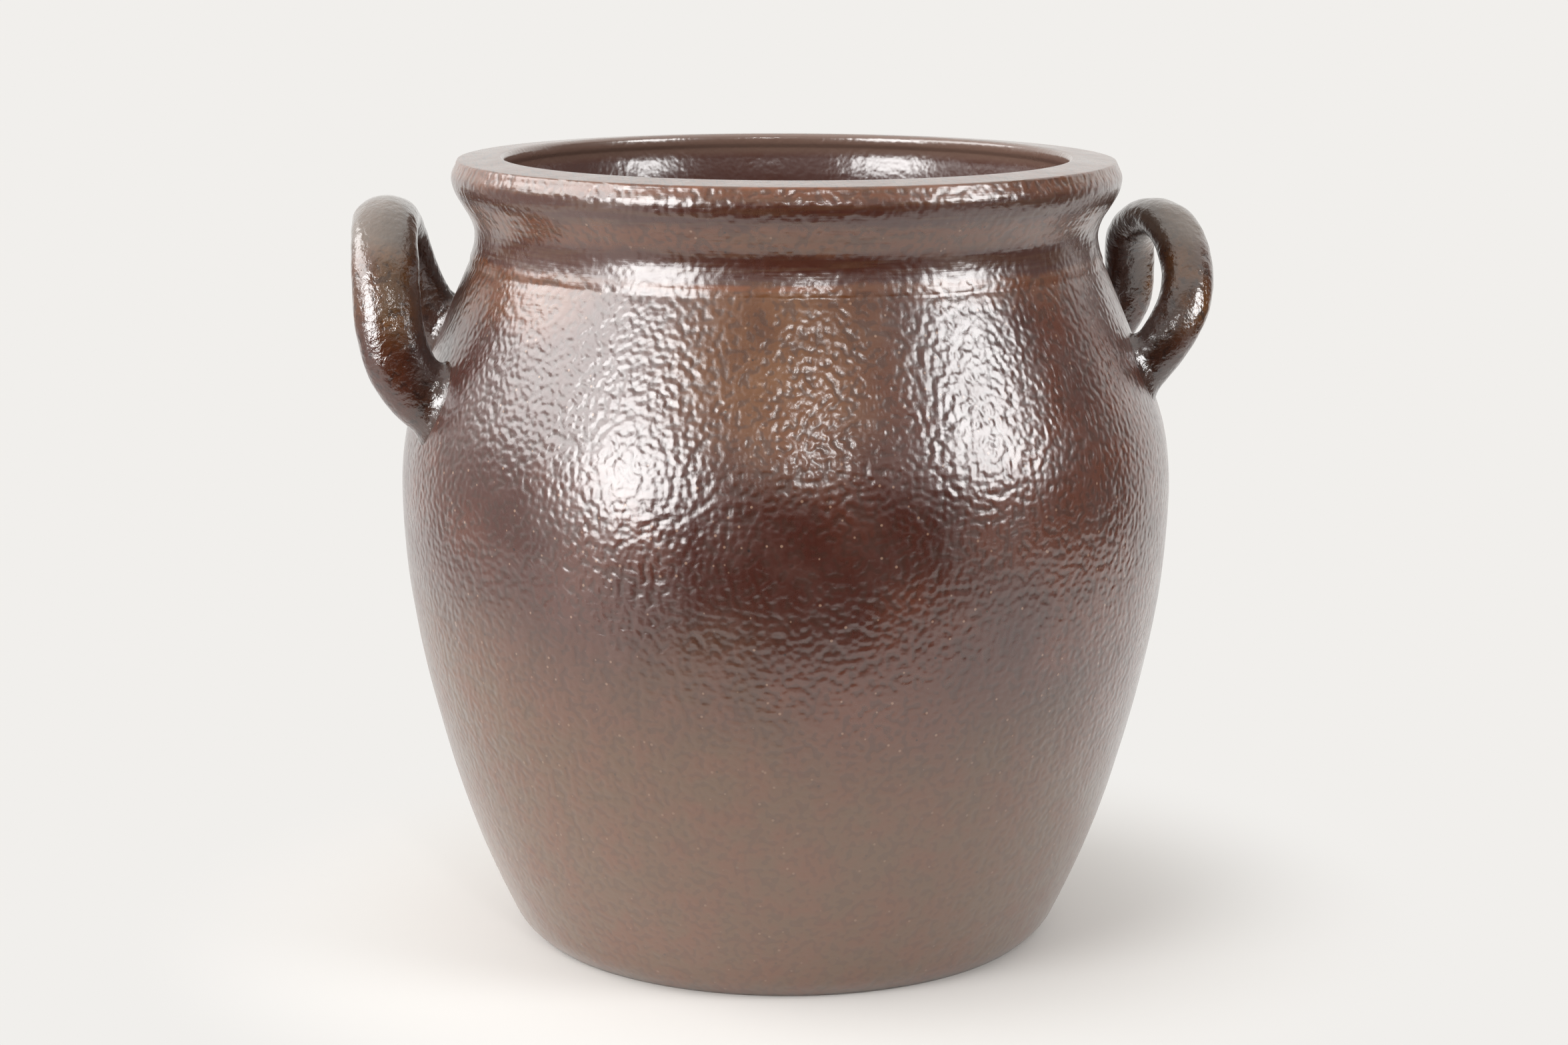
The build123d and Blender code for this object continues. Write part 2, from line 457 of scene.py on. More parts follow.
def salt_glaze(colours):
    """Salt-glazed stoneware, thrown: salt vapour leaves a thin glassy coat drawn up in small
    beads. The eye sees orange peel: bright worms round each soft highlight, and a dull sheen
    low down, where the coat is thin."""
    values = {"IOR": 1.63, "Coat Weight": 1.0, "Coat IOR": 1.63, "Coat Roughness": 0.23}
    material, tree, shader, place = new_material("stoneware_thrown_salt_glazed", values)
    axes = add_node(tree, "ShaderNodeSeparateXYZ", {"Vector": place}).outputs
    height = axes["Z"]

    # Clouds 55 mm across, from chocolate to red brown, redder on the right, which stood nearer
    # to the fire, and fainter plum ones of 12 mm. Each layer that goes over the chocolate has
    # its colour and the shares that are multiplied to its cover.
    broad = add_node(
        tree, "ShaderNodeTexNoise", {"Vector": place, "Scale": 1 / (55 * MM), "Detail": 3.0}
    ).outputs["Fac"]
    cloud = add_node(
        tree,
        "ShaderNodeTexNoise",
        {"Vector": place, "Scale": 1 / (12 * MM), "Detail": 5.0, "Roughness": 0.6},
    ).outputs["Fac"]
    fired = add_node(
        tree, "ShaderNodeMath", {0: axes["X"], 1: 1.4, 2: broad}, operation="MULTIPLY_ADD"
    ).outputs["Value"]
    warm = add_node(
        tree,
        "ShaderNodeMapRange",
        {"Value": fired, "From Min": 0.42, "From Max": 0.66},
        interpolation_type="SMOOTHSTEP",
    ).outputs["Result"]
    cool = add_node(
        tree,
        "ShaderNodeMapRange",
        {"Value": cloud, "From Min": 0.44, "From Max": 0.68, "To Max": 0.6},
        interpolation_type="SMOOTHSTEP",
    ).outputs["Result"]
    layers = [(colours.redbrown, warm), (colours.plum, cool)]

    # Low down the glaze is thin: grey brown with redder clouds, below an uneven line near 90 mm
    # that climbs to the left
    ragged = add_node(
        tree, "ShaderNodeMath", {0: broad, 1: 60 * MM, 2: height}, operation="MULTIPLY_ADD"
    ).outputs["Value"]
    tilted = add_node(
        tree, "ShaderNodeMath", {0: axes["X"], 1: 0.2, 2: ragged}, operation="MULTIPLY_ADD"
    ).outputs["Value"]
    low = add_node(
        tree,
        "ShaderNodeMapRange",
        {"Value": tilted, "From Min": 150 * MM, "From Max": 95 * MM},
        interpolation_type="SMOOTHSTEP",
    ).outputs["Result"]
    redder = add_node(
        tree,
        "ShaderNodeMapRange",
        {"Value": cloud, "From Min": 0.36, "From Max": 0.66},
        interpolation_type="SMOOTHSTEP",
    ).outputs["Result"]
    thin = add_node(
        tree, "ShaderNodeMix", {0: redder, 6: colours.ash, 7: colours.clay}, data_type="RGBA"
    ).outputs[2]
    layers.append((thin, low))

    # Neck and rim are a lighter olive brown
    high = add_node(
        tree,
        "ShaderNodeMapRange",
        {"Value": ragged, "From Min": 225 * MM, "From Max": 245 * MM, "To Max": 0.9},
        interpolation_type="SMOOTHSTEP",
    ).outputs["Result"]
    layers.append((colours.neck, high))

    # Golden flash on the front of the shoulder, about 60 mm across
    flash = (-13 * MM, -103 * MM, 192 * MM)
    apart = add_node(
        tree, "ShaderNodeVectorMath", {0: place, 1: flash}, operation="DISTANCE"
    ).outputs["Value"]
    near = add_node(
        tree,
        "ShaderNodeMapRange",
        {"Value": apart, "From Min": 46 * MM, "From Max": 10 * MM},
        interpolation_type="SMOOTHSTEP",
    ).outputs["Result"]
    patchy = add_node(
        tree,
        "ShaderNodeMapRange",
        {"Value": cloud, "From Min": 0.3, "From Max": 0.65, "To Min": 0.45, "To Max": 0.9},
    ).outputs["Result"]
    layers.append((colours.ochre, near, patchy))

    # Beads 2.3 mm apart, a little more than the noise's own step: the colour is darker between
    # them, less so where the glaze is thin
    beads = add_node(
        tree, "ShaderNodeTexNoise", {"Vector": place, "Scale": 1.15 / (2.3 * MM), "Detail": 0.2}
    ).outputs["Fac"]
    depth = add_node(
        tree, "ShaderNodeMapRange", {"Value": low, "To Min": 0.5, "To Max": 0.24}
    ).outputs["Result"]
    between_beads = add_node(
        tree,
        "ShaderNodeMapRange",
        {"Value": beads, "From Min": 0.5, "From Max": 0.36, "To Max": depth},
        interpolation_type="SMOOTHSTEP",
    ).outputs["Result"]
    layers.append((colours.umber, between_beads))

    # Pale dots, partly grains of grog under the glaze and partly painted glints on the tops of the
    # beads, and a few iron pits, each under 1 mm and drawn at 1 mm so that they show, fainter low
    # down
    faint = add_node(
        tree, "ShaderNodeMapRange", {"Value": low, "To Min": 1.0, "To Max": 0.4}
    ).outputs["Result"]
    cells = add_node(tree, "ShaderNodeTexVoronoi", {"Vector": place, "Scale": 1 / (3.5 * MM)})
    lot = add_node(tree, "ShaderNodeSeparateColor", {"Color": cells.outputs["Color"]}).outputs
    dot = add_node(
        tree,
        "ShaderNodeMapRange",
        {"Value": cells.outputs["Distance"], "From Min": 0.15, "From Max": 0.08},
        interpolation_type="SMOOTHSTEP",
    ).outputs["Result"]
    for channel, least, cover, grain in (
        ("Red", 0.45, 0.5, colours.grog),
        ("Green", 0.86, 0.8, colours.pit),
    ):
        chosen = add_node(
            tree, "ShaderNodeMath", {0: lot[channel], 1: least}, operation="GREATER_THAN"
        ).outputs["Value"]
        layers.append((grain, dot, chosen, faint, cover))

    # Painted shade: two dark red bands, in the hollow over the collar's ridge and under the rim,
    # their borders a few millimetres up and down
    wavy = add_node(
        tree, "ShaderNodeMath", {0: cloud, 1: 7 * MM, 2: height}, operation="MULTIPLY_ADD"
    ).outputs["Value"]
    level = add_node(
        tree, "ShaderNodeMapRange", {"Value": wavy, "From Min": 203.5 * MM, "From Max": 243.5 * MM}
    ).outputs["Result"]
    hollow_band = ((0.27, 0), (0.31, 0.9), (0.47, 0.9), (0.56, 0))
    rim_band = ((0.665, 0), (0.72, 0.9), (0.84, 0.9), (0.91, 0))
    shade_bands = add_node(
        tree, "ShaderNodeValToRGB", {"Fac": level}, stops=(*hollow_band, *rim_band)
    ).outputs["Color"]
    layers.append((colours.chocolate, shade_bands))

    # Turning lines 1.5 mm apart round the neck and the rim, olive where the glaze is thicker
    flat = add_node(
        tree, "ShaderNodeMapping", {"Vector": place, "Scale": (0.05, 0.05, 1)}
    ).outputs["Vector"]
    lines = add_node(
        tree, "ShaderNodeTexNoise", {"Vector": flat, "Scale": 1 / (1.5 * MM), "Detail": 2.0}
    ).outputs["Fac"]
    streak = add_node(
        tree,
        "ShaderNodeMapRange",
        {"Value": lines, "From Min": 0.45, "From Max": 0.65, "To Max": 0.4},
        interpolation_type="SMOOTHSTEP",
    ).outputs["Result"]
    layers.append((colours.ash, streak, high))

    # Fine slanting scratches on the flat top of the rim, about 1 mm apart
    slant = add_node(
        tree,
        "ShaderNodeMapping",
        {"Vector": place, "Rotation": (0, 0, 0.75), "Scale": (1, 0.07, 1)},
    ).outputs["Vector"]
    scratch = add_node(
        tree, "ShaderNodeTexNoise", {"Vector": slant, "Scale": 1 / (0.9 * MM), "Detail": 1.0}
    ).outputs["Fac"]
    scratch = add_node(
        tree,
        "ShaderNodeMapRange",
        {"Value": scratch, "From Min": 0.56, "From Max": 0.66, "To Max": 0.6},
        interpolation_type="SMOOTHSTEP",
    ).outputs["Result"]
    on_top = add_node(
        tree, "ShaderNodeMath", {0: height, 1: 239.15 * MM}, operation="GREATER_THAN"
    ).outputs["Value"]
    layers.append((colours.pit, scratch, on_top))

    # Rust on the collar's ridge at 210.8 mm and on the rim's outer edge at 239 mm, where the
    # glaze ran thin, in patches and most of all in front
    level = add_node(
        tree, "ShaderNodeMapRange", {"Value": height, "From Min": 200 * MM, "From Max": 240 * MM}
    ).outputs["Result"]
    ridge = ((0.245, 0), (0.262, 1), (0.28, 1), (0.30, 0))
    rim_edge = ((0.945, 0), (0.965, 1), (0.976, 1), (0.985, 0))
    edge = add_node(
        tree, "ShaderNodeValToRGB", {"Fac": level}, stops=(*ridge, *rim_edge)
    ).outputs["Color"]
    worn = add_node(
        tree,
        "ShaderNodeMapRange",
        {"Value": cloud, "From Min": 0.42, "From Max": 0.58, "To Min": 0.15, "To Max": 0.95},
        interpolation_type="SMOOTHSTEP",
    ).outputs["Result"]
    rim_front = (-6 * MM, -100 * MM, 236 * MM)
    apart = add_node(
        tree, "ShaderNodeVectorMath", {0: place, 1: rim_front}, operation="DISTANCE"
    ).outputs["Value"]
    fresh = add_node(
        tree,
        "ShaderNodeMapRange",
        {"Value": apart, "From Min": 70 * MM, "From Max": 22 * MM, "To Min": 0.12, "To Max": 0.8},
        interpolation_type="SMOOTHSTEP",
    ).outputs["Result"]
    layers.append((colours.rust, edge, worn, fresh))

    tone = colours.chocolate
    for other, share, *factors in layers:
        for factor in factors:
            share = add_node(
                tree, "ShaderNodeMath", {0: share, 1: factor}, operation="MULTIPLY"
            ).outputs["Value"]
        tone = add_node(
            tree, "ShaderNodeMix", {0: share, 6: tone, 7: other}, data_type="RGBA"
        ).outputs[2]

    # Glassy on the shoulder and the belly, duller low down
    gloss = add_node(
        tree,
        "ShaderNodeMapRange",
        {"Value": cloud, "From Min": 0.35, "From Max": 0.65, "To Min": 0.24, "To Max": 0.36},
    ).outputs["Result"]
    gloss = add_node(
        tree, "ShaderNodeMath", {0: low, 1: 0.1, 2: gloss}, operation="MULTIPLY_ADD"
    ).outputs["Value"]

    # The beads are strong on shoulder and belly, and fade towards the foot and in the neck
    level = add_node(
        tree, "ShaderNodeMapRange", {"Value": height, "From Max": 240 * MM}
    ).outputs["Result"]
    strength = add_node(
        tree,
        "ShaderNodeValToRGB",
        {"Fac": level},
        stops=(
            (0, 0.3),
            (0.2, 0.52),
            (0.36, 0.85),
            (0.5, 1),
            (0.8, 1),
            (0.88, 0.6),
            (0.94, 0.5),
            (0.965, 0.85),
            (0.992, 0.85),
            (0.998, 0.3),
        ),
    ).outputs["Color"]
    swell = add_node(
        tree, "ShaderNodeBump", {"Height": cloud, "Strength": 0.5, "Distance": 0.5 * MM}
    ).outputs["Normal"]
    turned = add_node(
        tree,
        "ShaderNodeBump",
        {"Height": lines, "Strength": high, "Distance": 0.12 * MM, "Normal": swell},
    ).outputs["Normal"]
    bump = add_node(
        tree,
        "ShaderNodeBump",
        {"Height": beads, "Strength": strength, "Distance": 0.35 * MM, "Normal": turned},
    ).outputs["Normal"]
    finish = {"Base Color": tone, "Roughness": gloss, "Normal": bump, "Coat Normal": bump}
    for name, source in finish.items():
        tree.links.new(source, shader.inputs[name])
    return material


def inside_glaze(colours):
    """Stoneware, thrown and glazed with slip inside: an even brown over the throwing rings,
    paler on the lip, just rough enough to turn each reflection into a soft grey sheen."""
    values = {
        "IOR": 1.63,
        "Roughness": 0.26,
        "Coat Weight": 1.0,
        "Coat IOR": 1.63,
        "Coat Roughness": 0.2,
    }
    material, tree, shader, place = new_material("stoneware_thrown_slip_glazed", values)

    # Clouds 16 mm across, and the lip from 232 mm up, where the slip ran thin
    cloud = add_node(
        tree, "ShaderNodeTexNoise", {"Vector": place, "Scale": 1 / (16 * MM), "Detail": 4.0}
    ).outputs["Fac"]
    height = add_node(tree, "ShaderNodeSeparateXYZ", {"Vector": place}).outputs["Z"]
    tone = colours.inside
    for pattern, least, most, other in (
        (cloud, 0.4, 0.65, colours.plum),
        (height, 232 * MM, 235 * MM, colours.lip),
    ):
        share = add_node(
            tree,
            "ShaderNodeMapRange",
            {"Value": pattern, "From Min": least, "From Max": most},
            interpolation_type="SMOOTHSTEP",
        ).outputs["Result"]
        tone = add_node(
            tree, "ShaderNodeMix", {0: share, 6: tone, 7: other}, data_type="RGBA"
        ).outputs[2]

    # A fainter orange peel, 2.3 mm
    fine = add_node(
        tree, "ShaderNodeTexNoise", {"Vector": place, "Scale": 1 / (2.3 * MM), "Detail": 1.0}
    ).outputs["Fac"]
    bump = add_node(
        tree, "ShaderNodeBump", {"Height": fine, "Strength": 0.6, "Distance": 0.25 * MM}
    ).outputs["Normal"]
    for name, source in {"Base Color": tone, "Normal": bump, "Coat Normal": bump}.items():
        tree.links.new(source, shader.inputs[name])
    return material


def handle_glaze(colours):
    """Salt-glazed stoneware, pulled strap: a heavy runny coat, olive brown where it is thin over
    the strap's back, nearly black in its heavier clouds and, as painted shade, on the side that
    faces the jar, dark red towards the roots, and grey on top, which is a painted reflection of
    the pale room. The highlights look wet and broken."""
    values = {"IOR": 1.63, "Coat Weight": 1.0, "Coat IOR": 1.63, "Coat Roughness": 0.12}
    material, tree, shader, place = new_material("stoneware_pulled_salt_glazed", values)

    # Clouds 24 mm and 7 mm across, and beads of 2.2 mm
    broad = add_node(
        tree, "ShaderNodeTexNoise", {"Vector": place, "Scale": 1 / (24 * MM), "Detail": 3.0}
    ).outputs["Fac"]
    cloud = add_node(
        tree,
        "ShaderNodeTexNoise",
        {"Vector": place, "Scale": 1 / (7 * MM), "Detail": 5.0, "Roughness": 0.6},
    ).outputs["Fac"]
    fine = add_node(
        tree, "ShaderNodeTexNoise", {"Vector": place, "Scale": 1 / (2.2 * MM), "Detail": 1.0}
    ).outputs["Fac"]
    axes = add_node(tree, "ShaderNodeSeparateXYZ", {"Vector": place}).outputs
    height = axes["Z"]
    outwards = add_node(
        tree, "ShaderNodeMath", {0: axes["X"]}, operation="ABSOLUTE"
    ).outputs["Value"]
    tone = colours.olive
    for pattern, least, most, cover, other in (
        (cloud, 0.58, 0.4, 0.6, colours.ochre),
        (broad, 0.46, 0.6, 0.65, colours.umber),
        (outwards, 121 * MM, 127 * MM, 0.6, colours.plum),
        (height, 197 * MM, 184 * MM, 0.8, colours.chocolate),
        (height, 174 * MM, 162 * MM, 0.6, colours.plum),
        # Painted shade: near black on the side of the strap that faces the jar
        (outwards, 117 * MM, 111 * MM, 0.85, colours.umber),
        (fine, 0.46, 0.32, 0.5, colours.pit),
        # Painted reflection: grey on top of the straps, for the pale room mirrored there
        (height, 211 * MM, 219 * MM, 0.75, colours.painted_top_sheen),
    ):
        share = add_node(
            tree,
            "ShaderNodeMapRange",
            {"Value": pattern, "From Min": least, "From Max": most, "To Max": cover},
            interpolation_type="SMOOTHSTEP",
        ).outputs["Result"]
        tone = add_node(
            tree, "ShaderNodeMix", {0: share, 6: tone, 7: other}, data_type="RGBA"
        ).outputs[2]

    # Uneven gloss, over runs and beads
    gloss = add_node(
        tree,
        "ShaderNodeMapRange",
        {"Value": cloud, "From Min": 0.35, "From Max": 0.65, "To Min": 0.16, "To Max": 0.28},
    ).outputs["Result"]
    swell = add_node(
        tree, "ShaderNodeBump", {"Height": cloud, "Strength": 0.9, "Distance": 0.9 * MM}
    ).outputs["Normal"]
    bump = add_node(
        tree,
        "ShaderNodeBump",
        {"Height": fine, "Strength": 0.9, "Distance": 0.25 * MM, "Normal": swell},
    ).outputs["Normal"]
    finish = {"Base Color": tone, "Roughness": gloss, "Normal": bump, "Coat Normal": bump}
    for name, source in finish.items():
        tree.links.new(source, shader.inputs[name])
    return material


def bare_clay(colours):
    """Stoneware, unglazed and wiped: matt and dull, with fine grog that catches the light."""
    values = {"IOR": 1.5, "Roughness": 0.85}
    material, tree, shader, place = new_material("stoneware_bare_wiped", values)

    # Grog of 1.2 mm, and clouds 22 mm across where the fire reached under the foot
    grog = add_node(
        tree, "ShaderNodeTexNoise", {"Vector": place, "Scale": 1 / (1.2 * MM), "Detail": 4.0}
    ).outputs["Fac"]
    cloud = add_node(
        tree, "ShaderNodeTexNoise", {"Vector": place, "Scale": 1 / (22 * MM), "Detail": 3.0}
    ).outputs["Fac"]
    tone = colours.bare
    for pattern, least, most, cover, other in (
        (cloud, 0.35, 0.7, 0.6, colours.redbrown),
        (grog, 0.6, 0.7, 0.5, colours.pit),
    ):
        share = add_node(
            tree,
            "ShaderNodeMapRange",
            {"Value": pattern, "From Min": least, "From Max": most, "To Max": cover},
            interpolation_type="SMOOTHSTEP",
        ).outputs["Result"]
        tone = add_node(
            tree, "ShaderNodeMix", {0: share, 6: tone, 7: other}, data_type="RGBA"
        ).outputs[2]
    bump = add_node(
        tree, "ShaderNodeBump", {"Height": grog, "Strength": 0.5, "Distance": 0.2 * MM}
    ).outputs["Normal"]
    for name, source in {"Base Color": tone, "Normal": bump}.items():
        tree.links.new(source, shader.inputs[name])
    return material


# Straps and their roots: a loop's centre line from its front root over the top to its back
# root, as in the CAD, in shares of the stand-off, the rise and the spread

SIDES = {"left": -1, "right": 1}
REACHES = {
    "left": (-1.9, 0.53, 1.08, 1.06, 0.85, -0.70, -2.3),
    "right": (-1.7, 0.54, 0.95, 0.55, 0.11, 0.25, -2.2),
}
RISES = {
    "left": (-0.34, 0.08, 0.80, 1.04, 0.89, 0.20, 0.10),
    "right": (-0.22, 0.42, 0.68, 1.0, 0.82, 0.42, -0.18),
}
SPREADS = (-0.92, -1.0, -0.72, 0.0, 0.66, 0.92, 0.88)

# Share of a loop's line that one root's clay reaches along, with room to spare
ROOT_SHARE = 0.34


def loop_line(hand, jar, straps):
    """A loop's centre line from its front root over the top to its back root."""
    shoulder = jar.belly_radius - SHOULDER_INSET
    height = jar.rim_height - SHOULDER_DROP
    points = [
        (
            SIDES[hand] * (shoulder + reach * straps.standoff),
            spread * straps.spread,
            height + rise * straps.rise,
        )
        for reach, spread, rise in zip(REACHES[hand], SPREADS, RISES[hand])
    ]
    return smooth_line(points, 0.5 * MM)


def swells(line):
    """For each point of the line, how much thicker or thinner the strap was pulled there."""
    return np.array([1 + 0.02 * noise.noise(Vector(point) / (22 * MM)) for point in line])


def work_by_hand(piece):
    """Finger hollows and slip drags, the same ones on a strap and on the clay at its roots."""
    press(piece, "finger_hollows", 12 * MM, 0.5 * MM)
    press(piece, "slip_drag", 5 * MM, 0.35 * MM)


def section_axes(line, side):
    """For each point of the line: across the strap, through its thickness, and along it."""
    along = np.gradient(line, axis=0)
    along /= np.linalg.norm(along, axis=1)[:, None]
    outwards = np.array([side, 0, 0], float)
    across = outwards - (along @ outwards)[:, None] * along
    across /= np.linalg.norm(across, axis=1)[:, None]
    return across, np.cross(along, across), along


def build_handle(hand, jar, straps, core):
    """One strap, bent to its loop and trimmed inside the wall."""
    width, thickness = (getattr(straps, f"{hand}_{part}") for part in ("width", "thickness"))
    line = loop_line(hand, jar, straps)
    across, through, along = section_axes(line, SIDES[hand])
    swell = swells(line)
    picks = np.linspace(0.05, 0.95, 96) * (len(line) - 1)
    rings = []
    for pick in picks.round().astype(int):
        matrix = Matrix([across[pick], through[pick], along[pick]]).transposed().to_4x4()
        matrix.translation = line[pick]
        rings.append((matrix, width / 2 * swell[pick], thickness / 2 * swell[pick]))
    piece = bridge_rings(f"{hand}_strap", rings, 48)
    cut = piece.modifiers.new("core", "BOOLEAN")
    cut.object = core
    cut.operation = "DIFFERENCE"
    select_only(piece)
    bpy.ops.object.modifier_apply(modifier=cut.name)
    # The cut leaves faces with many corners, split here so that no sliver folds onto another
    bpy.ops.object.mode_set(mode="EDIT")
    bpy.ops.mesh.select_all(action="DESELECT")
    bpy.ops.mesh.select_face_by_sides(number=4, type="GREATER")
    bpy.ops.mesh.quads_convert_to_tris(ngon_method="BEAUTY")
    bpy.ops.object.mode_set(mode="OBJECT")
    work_by_hand(piece)
    bpy.ops.object.shade_smooth()
    return piece


def wall_height(points, wall):
    """How far points stand off the outer wall, and the wall's outward normal under each."""
    radius = np.hypot(points[..., 0], points[..., 1])
    heights = wall[:, 1]
    slope = np.gradient(wall[:, 0], heights)
    fall = np.interp(points[..., 2], heights, slope)
    level = 1 / np.sqrt(1 + fall**2)
    out = points[..., :2] / radius[..., None]
    normal = np.concatenate([out, -fall[..., None]], axis=-1) * level[..., None]
    return (radius - np.interp(points[..., 2], heights, wall[:, 0])) * level, normal


def beside_strap(track, ways, heights, wall, level, sideways):
    """The point at this height over the wall on one track along the strap's skin, moved
    sideways from the strap, and the way of the move."""
    spot = np.interp(level, heights, np.arange(len(track)))
    low = int(spot)
    high = min(low + 1, len(track) - 1)
    share = spot - low
    point = track[low] * (1 - share) + track[high] * share
    _, normal = wall_height(point, wall)
    way = ways[low] - (ways[low] @ normal) * normal
    way /= np.linalg.norm(way)
    point = point + way * sideways
    stands, normal = wall_height(point, wall)
    return point + normal * (level - stands), way


def root_section(radius):
    """The section of a root's clay, (height over the wall, distance from the strap): from
    inside the strap down its hollow side to the wall, then under the wall and back."""
    depth = 0.9 * MM
    section = [(radius + 1.5 * MM, -0.5 * MM)]
    for arc in np.radians([0, 8, 16, 24, 32, 40, 48, 56, 63, 70, 76, 82, 87]):
        sunk = 0.25 * MM * math.sin(arc) ** 4
        height = radius * (1 - math.sin(arc)) - sunk
        section.append((height, radius * (1 - math.cos(arc)) - 0.04 * MM))
    return [*section, (-depth, radius), (-depth, -3 * MM), (radius * 0.7, -3 * MM)]


def build_root(hand, end, jar, straps, wall):
    """The clay smoothed round one root: a closed ring, hollow-sided, drawn out to a tip where
    the strap runs into the wall."""
    side = SIDES[hand]
    half_width, half_thickness = (
        getattr(straps, f"{hand}_{part}") / 2 for part in ("width", "thickness")
    )
    line = loop_line(hand, jar, straps)
    if end == "back":
        line = line[::-1]
    line = line[: int(len(line) * ROOT_SHARE)]
    across, through, along = section_axes(line, side)
    turns = np.linspace(0, math.tau, 72, endpoint=False)
    cosine, sine = np.cos(turns)[:, None, None], np.sin(turns)[:, None, None]
    swell = swells(line)[:, None]
    surface = line + swell * (half_width * cosine * across + half_thickness * sine * through)
    facing = cosine / half_width * across + sine / half_thickness * through
    facing /= np.linalg.norm(facing, axis=-1, keepdims=True)
    height, _ = wall_height(surface, wall)

    # Heights that never fall, and by a hair never stay, so that each is met once
    heights = np.maximum.accumulate(height, axis=1) + np.arange(len(line)) * 1e-9
    tip = -along[int(len(line) * 0.3)]
    rows = []
    for turn, *track in zip(turns, surface, facing, heights):
        _, way = beside_strap(*track, wall, 1 * MM, 0)
        lean = max(0.0, float(way @ tip))
        wobble = noise.noise(Vector((math.cos(turn), math.sin(turn), 3.0 * side + len(end))))
        radius = straps.fillet * (0.75 + 0.9 * lean**6 + 0.22 * wobble)
        rows.append(
            [
                beside_strap(*track, wall, level, sideways)[0]
                for level, sideways in root_section(radius)
            ]
        )
    rows = np.array(rows)
    select_only()
    bpy.ops.mesh.primitive_torus_add(
        major_segments=rows.shape[0],
        minor_segments=rows.shape[1],
        major_radius=half_width,
        minor_radius=straps.fillet,
        location=rows.mean(axis=(0, 1)),
    )
    piece = bpy.context.object
    piece.name = piece.data.name = f"{hand}_{end}_root"
    bpy.ops.object.transform_apply(location=True, rotation=True, scale=True)
    piece.data.vertices.foreach_set("co", rows.astype(np.float32).ravel())
    bpy.ops.object.mode_set(mode="EDIT")
    bpy.ops.mesh.select_all(action="SELECT")
    bpy.ops.mesh.normals_make_consistent(inside=False)
    bpy.ops.object.mode_set(mode="OBJECT")
    work_by_hand(piece)
    bpy.ops.object.shade_smooth()
    return piece


# Operators


class JAR_OT_body(bpy.types.Operator):
    """Throw the jar's body"""

    bl_idname = "jar.body"
    bl_label = "Body"
    bl_options = {"REGISTER", "UNDO"}

    def execute(self, context):
        sizes, colours = context.scene.jar_sizes, context.scene.jar_colours
        piece = spin_outline("thrown_body", jar_outline(sizes), 360)
        skin = outer_wall(sizes, 4 * MM)
        neck = sizes.belly_radius - NECK_INSET

        def under_skin(place):
            """How far a place lies inside the wall's outer line, level with it."""
            return np.interp(place.z, skin[:, 1], skin[:, 0]) - math.hypot(place.x, place.y)

        def outside(place):
            """1 on the outer wall, fading out over the lowest 10 mm, 0 inside and on the rim."""
            shown = under_skin(place) < 2 * MM and place.z < sizes.rim_height - 2 * MM
            return shown * min(1, place.z / (10 * MM))

        def rolled(place):
            """1 on the outside of rim and neck, from 34 mm under the top, 0 elsewhere."""
            above = (place.z - (sizes.rim_height - 34 * MM)) / (8 * MM)
            shown = (
                math.hypot(place.x, place.y) > neck - 1 * MM
                and place.z < sizes.rim_height - 0.9 * MM
            )
            return shown * max(0, min(1, above))

        weigh(piece, "outside", outside)
        weigh(piece, "rolled", rolled)
        press(piece, "hand_hollows", 26 * MM, sizes.peel, "outside")
        press(piece, "salt_swells", 8 * MM, sizes.peel * 0.45, "outside")
        press(piece, "rim_dimples", 4.5 * MM, sizes.peel * 1.2, "rolled")

        # Bare clay under the foot, slip inside the wall and inside the lip's edge, which is
        # taken as a cone so that the top of the rim keeps the salt glaze
        for material in (salt_glaze(colours), inside_glaze(colours), bare_clay(colours)):
            piece.data.materials.append(material)
        for face in piece.data.polygons:
            middle = face.center
            lip = neck - 8.9 * MM + (sizes.rim_height - middle.z) * 1.3
            if middle.z < 0.6 * MM:
                face.material_index = 2
            elif under_skin(middle) > 3 * MM and math.hypot(middle.x, middle.y) < lip:
                face.material_index = 1
        bpy.ops.object.shade_smooth_by_angle(angle=math.radians(50))
        dress(piece, "salt_glaze", "jar_body")
        return {"FINISHED"}


class JAR_OT_handles(bpy.types.Operator):
    """Bend the two straps and set them on the shoulder"""

    bl_idname = "jar.handles"
    bl_label = "Handles"
    bl_options = {"REGISTER", "UNDO"}

    def execute(self, context):
        jar, straps = context.scene.jar_sizes, context.scene.jar_straps

        # The core, 5 mm inside the skin, cuts the straps off inside the wall
        core_line = outer_wall(jar, 3 * MM)[4:] - (5 * MM, 0)
        (_, low), (_, high) = core_line[0], core_line[-1]
        core = spin_outline("core", np.array([(0, low), *core_line, (0, high)]), 128)
        glaze = handle_glaze(context.scene.jar_colours)
        for hand in ("left", "right"):
            piece = build_handle(hand, jar, straps, core)
            piece.data.materials.clear()
            piece.data.materials.append(glaze)
            dress(piece, "handle_glaze", f"{hand}_handle")
        select_only(core)
        bpy.ops.object.delete()
        return {"FINISHED"}


class JAR_OT_roots(bpy.types.Operator):
    """Smooth clay round the four roots of the handles"""

    bl_idname = "jar.roots"
    bl_label = "Roots"
    bl_options = {"REGISTER", "UNDO"}

    def execute(self, context):
        jar, straps = context.scene.jar_sizes, context.scene.jar_straps
        wall = outer_wall(jar, 1 * MM)
        glaze = bpy.data.materials["stoneware_pulled_salt_glazed"]
        for hand in ("left", "right"):
            for end in ("front", "back"):
                piece = build_root(hand, end, jar, straps, wall)
                piece.data.materials.append(glaze)
                dress(piece, "handle_glaze", f"{hand}_{end}_luting")
        return {"FINISHED"}


